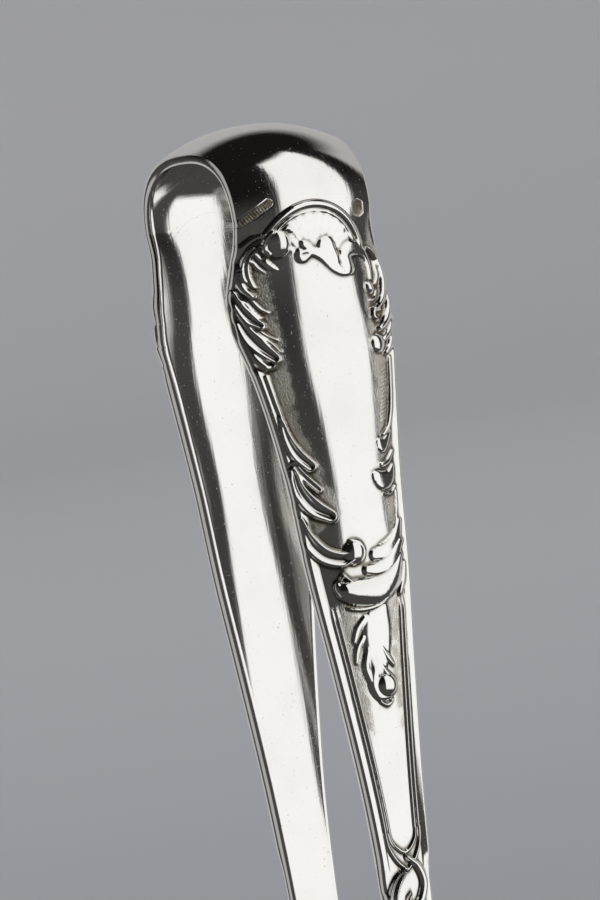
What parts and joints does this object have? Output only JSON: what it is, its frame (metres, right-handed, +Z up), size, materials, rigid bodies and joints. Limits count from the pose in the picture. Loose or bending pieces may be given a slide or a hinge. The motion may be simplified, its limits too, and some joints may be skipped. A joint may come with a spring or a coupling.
{
  "type": "ice tongs",
  "caption": "Spring tongs for picking up ice: a domed bow joins two tapering ornamented arms that end in cupped claws with inward talons.",
  "frame": {"origin": "midway between the two claws, level with their lowest points, below the crown of the bow", "axes": "+Z up from the claws to the bow, +X from the back arm to the front arm, Y along the width of the arms"},
  "size_m": [0.0292, 0.0218, 0.17],
  "materials": {
    "polished_silver": "polished silver, warm tarnish left in the recesses",
    "cast_silver": "cast silver, softly polished"
  },
  "bodies": {
    "bow": {"bow": "polished_silver"},
    "front_arm": {"front_arm": "polished_silver", "front_claw": "cast_silver"},
    "back_arm": {"back_arm": "polished_silver", "back_claw": "cast_silver"}
  },
  "joints": [
    {"name": "front_flex", "type": "hinge", "parent": "bow", "child": "front_arm", "pos_m": [0.008, 0, 0.166], "axis": [0, 1, 0], "range_deg": [-1.5, 2.7], "stiffness_Nm_per_rad": 8, "deforming": ["bow"]},
    {"name": "back_flex", "type": "hinge", "parent": "bow", "child": "back_arm", "pos_m": [-0.008, 0, 0.166], "axis": [0, -1, 0], "range_deg": [-1.5, 2.7], "stiffness_Nm_per_rad": 8, "deforming": ["bow"]}
  ],
  "couplings": [
    {"joint": "back_flex", "follows": "front_flex", "ratio": 1}
  ]
}
